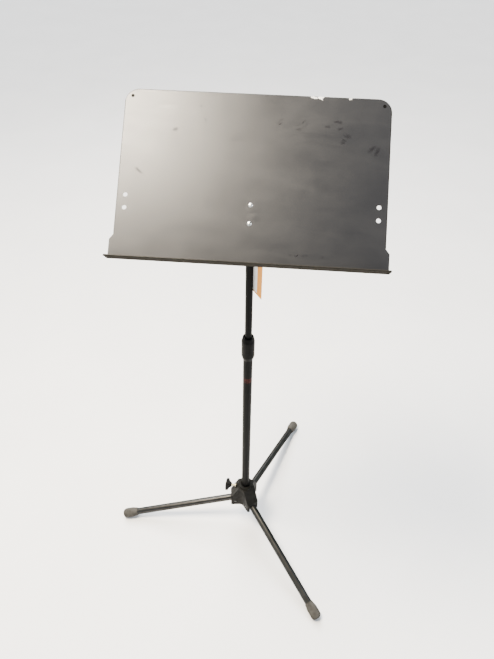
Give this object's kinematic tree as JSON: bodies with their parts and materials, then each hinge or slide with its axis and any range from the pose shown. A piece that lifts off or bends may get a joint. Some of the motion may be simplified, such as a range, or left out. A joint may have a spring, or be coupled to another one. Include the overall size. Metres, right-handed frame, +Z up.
{
  "type": "music stand",
  "caption": "Free-standing music stand with a sheet-steel desk and ledge that tilts and swivels on a telescopic column over a folding three-legged base.",
  "frame": {"origin": "on the floor, on the axis of the upright tubes", "axes": "+Z up along the upright; the desk faces -Y and leans back towards +Y; +X is to the right for the reader"},
  "size_m": [0.6506, 0.6879, 1.3088],
  "materials": {
    "desk_paint": "satin black powder coat",
    "tube_paint": "satin black",
    "leg_paint": "gloss black",
    "hub_plastic": "moulded black",
    "grip_plastic": "moulded black",
    "foot_rubber": "matt dark grey",
    "nylon": "moulded dark grey nylon",
    "bright_steel": "bright zinc plate",
    "dark_steel": "black oxide",
    "pale_brass": "bright pale brass",
    "tag_paper": "white label paper with an orange edge"
  },
  "bodies": {
    "base": {"hub_body": "hub_plastic", "clamp_screw_insert": "pale_brass", "clamp_pad": "pale_brass", "leg_pivot_pins": "dark_steel"},
    "clamp_screw": {"wing_knob": "grip_plastic", "clamp_screw_stud": "pale_brass"},
    "lower_column": {"lower_tube": "tube_paint", "tube_end_cap": "hub_plastic", "clutch_collet": "nylon"},
    "clutch_grip": {"clutch_sleeve": "grip_plastic", "clutch_wiper_ring": "foot_rubber"},
    "height_bush": {"guide_bush": "nylon"},
    "upper_column": {"upper_tube": "tube_paint", "upper_tube_plug": "nylon", "bush_stop_ring": "bright_steel", "tilt_head": "hub_plastic", "tilt_head_pin": "bright_steel", "tag_label": "tag_paper"},
    "desk": {"desk_panel": "desk_paint", "corner_plugs": "foot_rubber", "desk_bracket": "tube_paint", "bracket_rivets": "bright_steel", "tilt_bolt": "bright_steel", "tilt_lock_nut": "bright_steel", "tilt_washers": "bright_steel", "friction_discs": "nylon"},
    "leg_left": {"leg_tube_left": "leg_paint", "leg_plug_left": "nylon", "foot_cap_left": "foot_rubber"},
    "leg_back": {"leg_tube_back": "leg_paint", "leg_plug_back": "nylon", "foot_cap_back": "foot_rubber"},
    "leg_front": {"leg_tube_front": "leg_paint", "leg_plug_front": "nylon", "foot_cap_front": "foot_rubber"}
  },
  "joints": [
    {"name": "leg_left_fold", "type": "hinge", "parent": "base", "child": "leg_left", "pos_m": [-0.03179, -0.00368, 0.10149], "axis": [0.1149, -0.9934, 0], "range_deg": [0, 75.9]},
    {"name": "leg_back_fold", "type": "hinge", "parent": "base", "child": "leg_back", "pos_m": [0.01271, 0.02937, 0.10149], "axis": [-0.9178, 0.3971, 0], "range_deg": [0, 75.9]},
    {"name": "leg_front_fold", "type": "hinge", "parent": "base", "child": "leg_front", "pos_m": [0.01908, -0.02569, 0.10149], "axis": [0.8028, 0.5962, 0], "range_deg": [0, 75.9]},
    {"name": "clamp_screw_turn", "type": "hinge", "parent": "base", "child": "clamp_screw", "pos_m": [-0.03995, 0.00209, 0.15999], "axis": [-0.9986, 0.0523, 0], "range_deg": [0, 720]},
    {"name": "column_slide", "type": "slide", "parent": "base", "child": "lower_column", "axis": [0, 0, 1], "range_m": [-0.26, 0]},
    {"name": "clutch_twist", "type": "hinge", "parent": "lower_column", "child": "clutch_grip", "pos_m": [0, 0, 0.78249], "axis": [0, 0, 1], "range_deg": [0, 60]},
    {"name": "height_slide", "type": "slide", "parent": "lower_column", "child": "height_bush", "axis": [0, 0, 1], "range_m": [-0.135, 0.26]},
    {"name": "desk_swivel", "type": "hinge", "parent": "height_bush", "child": "upper_column", "pos_m": [0, 0, 0.41499], "axis": [0, 0, 1], "continuous": true},
    {"name": "desk_tilt", "type": "hinge", "parent": "upper_column", "child": "desk", "pos_m": [0, 0, 1.13099], "axis": [1, 0, 0], "range_deg": [-40, 42]}
  ]
}
